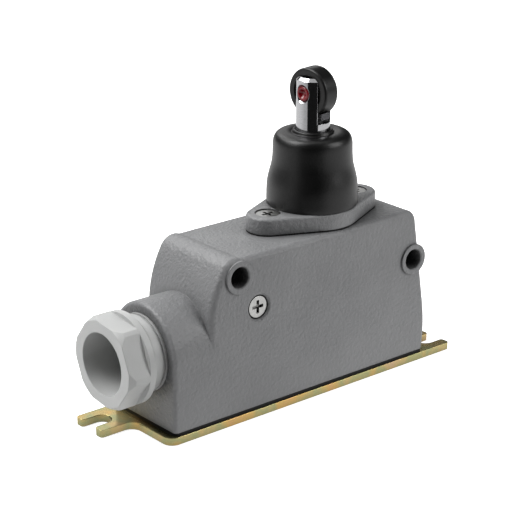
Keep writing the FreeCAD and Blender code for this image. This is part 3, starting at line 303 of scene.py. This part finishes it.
def smooth_path(points, steps):
    """A Catmull-Rom curve through (radius, height) points; a repeated point is a corner."""
    path = []
    for index in range(len(points) - 1):
        before = Vector(points[max(index - 1, 0)])
        start = Vector(points[index])
        end = Vector(points[index + 1])
        after = Vector(points[min(index + 2, len(points) - 1)])
        for step in range(steps):
            t = step / steps
            pull = (end - before) * t + (2 * before - 5 * start + 4 * end - after) * t ** 2
            pull += (3 * start - before - 3 * end + after) * t ** 3
            path.append(start + pull / 2)
    path.append(Vector(points[-1]))
    return path


def lathe(name, slot_name, path, count=96):
    """A closed ring turned about Z from a closed path of (radius, height), in millimetres."""
    work = bmesh.new()
    rings = []
    for radius, height in path:
        ring = []
        for index in range(count):
            angle = 2 * math.pi * index / count
            spot = (radius * math.cos(angle) * MM, radius * math.sin(angle) * MM, height * MM)
            ring.append(work.verts.new(spot))
        rings.append(ring)
    for ring, after in zip(rings, rings[1:] + rings[:1]):
        for index in range(count):
            side = (index + 1) % count
            work.faces.new((ring[index], ring[side], after[side], after[index]))
    return new_piece(name, slot_name, work)


def coil(name, slot_name, mean, wire, turns, low, high, around=28, across=12):
    """A compression spring about Z with flat closed ends, in millimetres."""
    work = bmesh.new()
    length = high - low - 2 * wire
    steps = int(turns * around)
    rings = []
    for step in range(steps + 1):
        angle = 2 * math.pi * step / around
        out = Vector((math.cos(angle), math.sin(angle), 0))
        middle = out * mean + Vector((0, 0, low + wire + length * step / steps))
        ring = []
        for index in range(across):
            turn = 2 * math.pi * index / across
            spot = middle + out * wire * math.cos(turn) + Vector((0, 0, wire * math.sin(turn)))
            ring.append(work.verts.new(spot * MM))
        rings.append(ring)
    for ring, after in zip(rings, rings[1:]):
        for index in range(across):
            side = (index + 1) % across
            work.faces.new((ring[index], ring[side], after[side], after[index]))
    work.faces.new(rings[0])
    work.faces.new(rings[-1])
    return new_piece(name, slot_name, work)


def rubber_boot():
    outside = [
        (11.90, 48.42), (11.96, 49.4), (11.93, 51.0), (11.88, 52.8), (11.74, 54.4), (11.42, 56.0),
        (10.95, 57.8), (10.60, 59.4), (10.42, 61.2), (10.36, 63.0), (10.32, 64.5), (10.14, 65.6),
        (9.65, 66.55), (8.95, 67.1), (8.0, 67.38), (6.9, 67.48), (6.0, 67.36), (5.5, 67.22),
        (5.3, 67.5), (5.18, 67.85), (4.95, 68.02), (4.7, 68.0), (4.52, 67.85),
    ]
    inside = [
        (4.52, 66.0), (4.7, 65.75), (7.9, 65.7), (8.45, 65.3), (8.65, 64.0), (8.75, 61.0),
        (9.3, 57.6), (9.9, 54.0), (10.1, 51.0), (10.1, 49.5), (9.7, 49.42), (8.1, 49.42),
        (8.02, 49.3), (8.02, 48.5), (8.1, 48.42),
    ]
    boot = lathe("boot", "boot_rubber", smooth_path(outside, 4) + smooth_path(inside, 2))
    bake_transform(boot)
    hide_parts("rubber_boot")


def springs():
    back = coil("spring_return", "spring_steel", 7.2, 0.45, 4.5, 50.22, 63.58)
    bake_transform(back)
    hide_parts("return_spring")
    over = coil("spring_overtravel", "spring_steel", 1.95, 0.3, 6.0, 48.02, 57.98)
    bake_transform(over)
    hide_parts("overtravel_spring")


rubber_boot()
springs()


# ---------------------------------------------------------------- camera, floor and light


FLOOR_HEIGHT = -0.0002
FLOOR_TONE = 0.90
FLOOR_GLOW = 0.9
BOUNCE_HEIGHT = -0.0006
BOUNCE_TONE = 0.30
BOUNCE_GLOW = 1.0
DIM_PLACE = (-0.27, -0.09, 0)
DIM_REACH = (0.12, 0.27)
DIM_SHARE = 0.6
SHEET_REACH = 3
WORLD_GLOW = 0.06
# name, azimuth in degrees from +X, distance, height, width and depth, power
LAMPS = [
    ("key", 148, 0.62, 0.82, (0.6, 0.6), 10.5),
    ("top", 80, 0.15, 1.10, (1.2, 1.2), 3.6),
    ("crest", 92, 0.62, 0.58, (0.6, 0.35), 1.9),
    ("back", 62, 0.70, 0.32, (0.45, 0.30), 0.45),
    ("left", 178, 0.80, 0.26, (0.4, 0.4), 0.25),
    ("right", 304, 0.80, 0.48, (0.5, 0.5), 4.0),
]
LAMP_AIM = Vector((0, 0, 0.03))


def set_camera():
    data = bpy.data.cameras.new("camera")
    data.lens = CAMERA_LENS
    data.sensor_width = 36
    data.clip_start = 0.01
    data.clip_end = 20
    camera = bpy.data.objects.new("camera", data)
    bpy.context.scene.collection.objects.link(camera)
    turn = Matrix.Rotation(CAMERA_AZIMUTH, 3, "Z")
    look = Matrix.Rotation(math.radians(90) - CAMERA_ELEVATION, 3, "X")
    roll = Matrix.Rotation(CAMERA_ROLL, 3, "Z")
    camera.rotation_euler = (turn @ look @ roll).to_euler()
    camera.location = CAMERA_PLACE
    bpy.context.scene.camera = camera


def lamp(name, azimuth, distance, height, size, power):
    """A softbox standing round the part and turned to it, which the camera does not see."""
    data = bpy.data.lights.new(name, "AREA")
    data.shape = "RECTANGLE"
    data.size, data.size_y = size
    data.energy = power
    item = bpy.data.objects.new(name, data)
    angle = math.radians(azimuth)
    place = Vector((distance * math.cos(angle), distance * math.sin(angle), height))
    item.location = place
    item.rotation_euler = (LAMP_AIM - place).to_track_quat("-Z", "Y").to_euler()
    item.visible_camera = False
    bpy.context.scene.collection.objects.link(item)


def flat_piece(name, corners, material):
    work = bmesh.new()
    work.faces.new([work.verts.new(corner) for corner in corners])
    mesh = bpy.data.meshes.new(name)
    work.to_mesh(mesh)
    work.free()
    item = bpy.data.objects.new(name, mesh)
    bpy.context.scene.collection.objects.link(item)
    mesh.materials.append(material)
    return item


def level_sheet(name, height, tone, glow, dim_near=None):
    """A large level sheet that gives off light, less of it around dim_near if that is given."""
    n = Nodes(name)
    drift = n.ramp(n.noise(3), "Fac", [(0.3, grey(tone - 0.01)), (0.7, grey(tone + 0.01))])
    n.colour(drift, "Color")
    n.set(Roughness=0.9, Emission_Color=(1, 1, 1, 1), Emission_Strength=glow)
    if dim_near is not None:
        away = n.add("ShaderNodeVectorMath", operation="DISTANCE")
        away.inputs[1].default_value = dim_near
        n.join(n.place, "Object", away, 0)
        strength = n.span(away, "Value", glow * DIM_SHARE, glow, *DIM_REACH)
        n.join(strength, "Result", n.shader, "Emission Strength")
    signs = ((-1, -1), (1, -1), (1, 1), (-1, 1))
    corners = [(x * SHEET_REACH, y * SHEET_REACH, height) for x, y in signs]
    return flat_piece(name, corners, n.material)


def floor():
    """The white floor that the camera sees, and the sheet that lights the part from below."""
    seen = level_sheet("floor", FLOOR_HEIGHT, FLOOR_TONE, FLOOR_GLOW)
    seen.visible_diffuse = False
    seen.visible_glossy = False
    lit = level_sheet("bounce", BOUNCE_HEIGHT, BOUNCE_TONE, BOUNCE_GLOW, DIM_PLACE)
    lit.visible_camera = False


def painted_shade_card(name, azimuth, distance, width, height):
    """A black card on the camera's side that paints shade into reflections and bounced light; it
    casts no shadow and the camera does not see it.
    """
    n = Nodes(name)
    n.colour(n.ramp(n.noise(20), "Fac", [(0.3, grey(0.002)), (0.7, grey(0.004))]), "Color")
    n.set(Roughness=0.9)
    angle = math.radians(azimuth)
    middle = Vector((distance * math.cos(angle), distance * math.sin(angle), 0))
    side = Vector((-math.sin(angle), math.cos(angle), 0)) * width / 2
    up = Vector((0, 0, height))
    corners = [middle - side, middle + side, middle + side + up, middle - side + up]
    item = flat_piece(name, corners, n.material)
    item.visible_camera = False
    item.visible_transmission = False
    item.visible_shadow = False


def world():
    scene_world = bpy.data.worlds.new("world")
    bpy.context.scene.world = scene_world
    scene_world.use_nodes = True
    back = scene_world.node_tree.nodes["Background"]
    back.inputs["Color"].default_value = (1, 1, 1, 1)
    back.inputs["Strength"].default_value = WORLD_GLOW


set_camera()
floor()
world()
# Painted shade: a black card darkens reflections and bounce from the camera's side.
painted_shade_card("card", 226, 0.14, 0.20, 0.35)
for name, azimuth, distance, height, size, power in LAMPS:
    lamp(name, azimuth, distance, height, size, power)
bpy.context.scene.view_settings.view_transform = "Standard"
